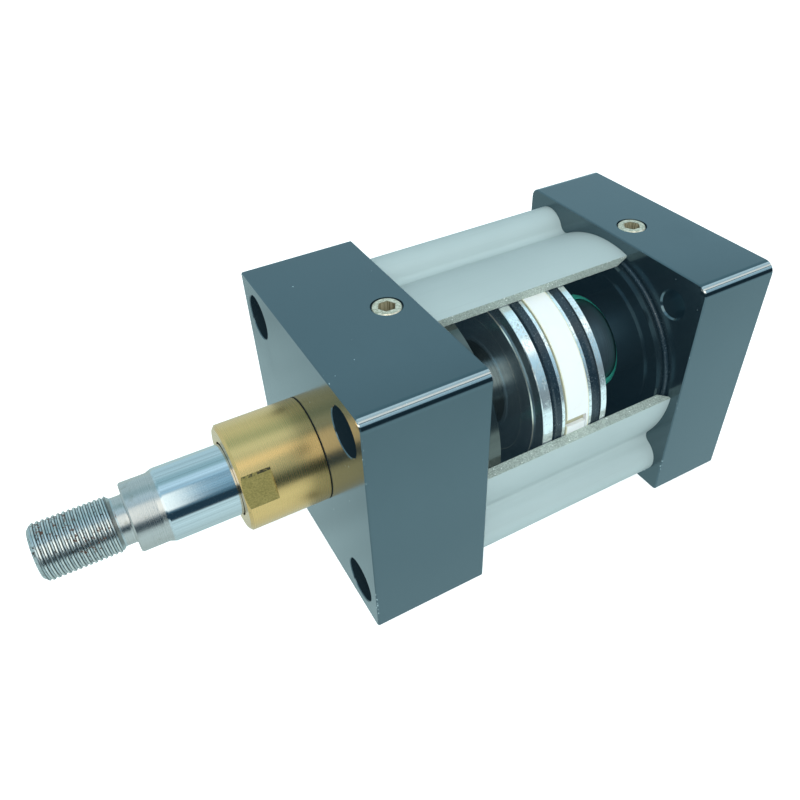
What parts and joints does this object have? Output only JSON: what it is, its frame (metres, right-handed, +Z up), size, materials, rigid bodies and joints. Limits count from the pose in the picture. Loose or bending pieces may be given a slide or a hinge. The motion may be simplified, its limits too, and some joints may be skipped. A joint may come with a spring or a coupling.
{
  "type": "tie rod cylinder",
  "caption": "Cushioned tie rod cylinder with square end blocks, cut open along its tube to show the piston, with a threaded rod end and a bronze rod gland.",
  "frame": {"origin": "centre of the head block's front face, on the rod's axis", "axes": "+X along the cylinder towards the cap, so the rod points along -X; +Z up; the window faces -Y"},
  "size_m": [0.2519, 0.0952, 0.0952],
  "materials": {
    "end_block": "dark anodised, machined faces",
    "barrel_profile": "satin anodised extrusion, grainy cut faces",
    "tie_steel": "bright steel",
    "nut_steel": "black oxide",
    "gland_bronze": "turned bearing bronze",
    "rod_chrome": "hard chrome, satin turned end",
    "piston_alloy": "turned, dark",
    "sleeve_steel": "ground steel",
    "spear_steel": "black oxide",
    "screw_zinc": "zinc plated, brassy socket",
    "seal_black": "matte",
    "seal_green": "satin",
    "band_white": "smooth"
  },
  "bodies": {
    "barrel": {"head_block": "end_block", "cap_block": "end_block", "barrel_tube": "barrel_profile", "tie_rods": "tie_steel", "sleeve_nuts": "nut_steel", "gland": "gland_bronze", "gland_o_ring": "seal_black", "rod_wiper": "seal_black", "rod_seal": "seal_black", "head_tube_seal": "seal_black", "cap_tube_seal": "seal_black", "head_cushion_seal": "seal_green", "cap_cushion_seal": "seal_green"},
    "piston_rings": {"wear_band": "band_white", "front_piston_seal": "seal_black", "rear_piston_seal": "seal_black"},
    "rod": {"piston_rod": "rod_chrome", "piston": "piston_alloy", "piston_o_ring": "seal_black", "head_cushion_sleeve": "sleeve_steel", "cap_cushion_spear": "spear_steel"},
    "head_screw_ring": {"head_screw_o_ring": "seal_black"},
    "head_screw": {"head_cushion_screw": "screw_zinc"},
    "cap_screw_ring": {"cap_screw_o_ring": "seal_black"},
    "cap_screw": {"cap_cushion_screw": "screw_zinc"}
  },
  "joints": [
    {"name": "rod_slide", "type": "slide", "parent": "barrel", "child": "piston_rings", "axis": [-1, 0, 0], "range_m": [-0.02155, 0.01645]},
    {"name": "rod_turn", "type": "hinge", "parent": "piston_rings", "child": "rod", "pos_m": [0.086, 0, 0], "axis": [-1, 0, 0], "continuous": true},
    {"name": "head_screw_lift", "type": "slide", "parent": "barrel", "child": "head_screw_ring", "axis": [0, 0, 1], "range_m": [-0.0015, 0.001]},
    {"name": "head_screw_turn", "type": "hinge", "parent": "head_screw_ring", "child": "head_screw", "pos_m": [0.0336, 0, 0.04763], "axis": [0, 0, 1], "range_deg": [-541, 361]},
    {"name": "cap_screw_lift", "type": "slide", "parent": "barrel", "child": "cap_screw_ring", "axis": [0, 0, 1], "range_m": [-0.0015, 0.001]},
    {"name": "cap_screw_turn", "type": "hinge", "parent": "cap_screw_ring", "child": "cap_screw", "pos_m": [0.1383, 0, 0.04763], "axis": [0, 0, 1], "range_deg": [-541, 361]}
  ],
  "couplings": [
    {"joint": "head_screw_turn", "follows": "head_screw_lift", "rad_per_m": 6283.2},
    {"joint": "cap_screw_turn", "follows": "cap_screw_lift", "rad_per_m": 6283.2}
  ]
}
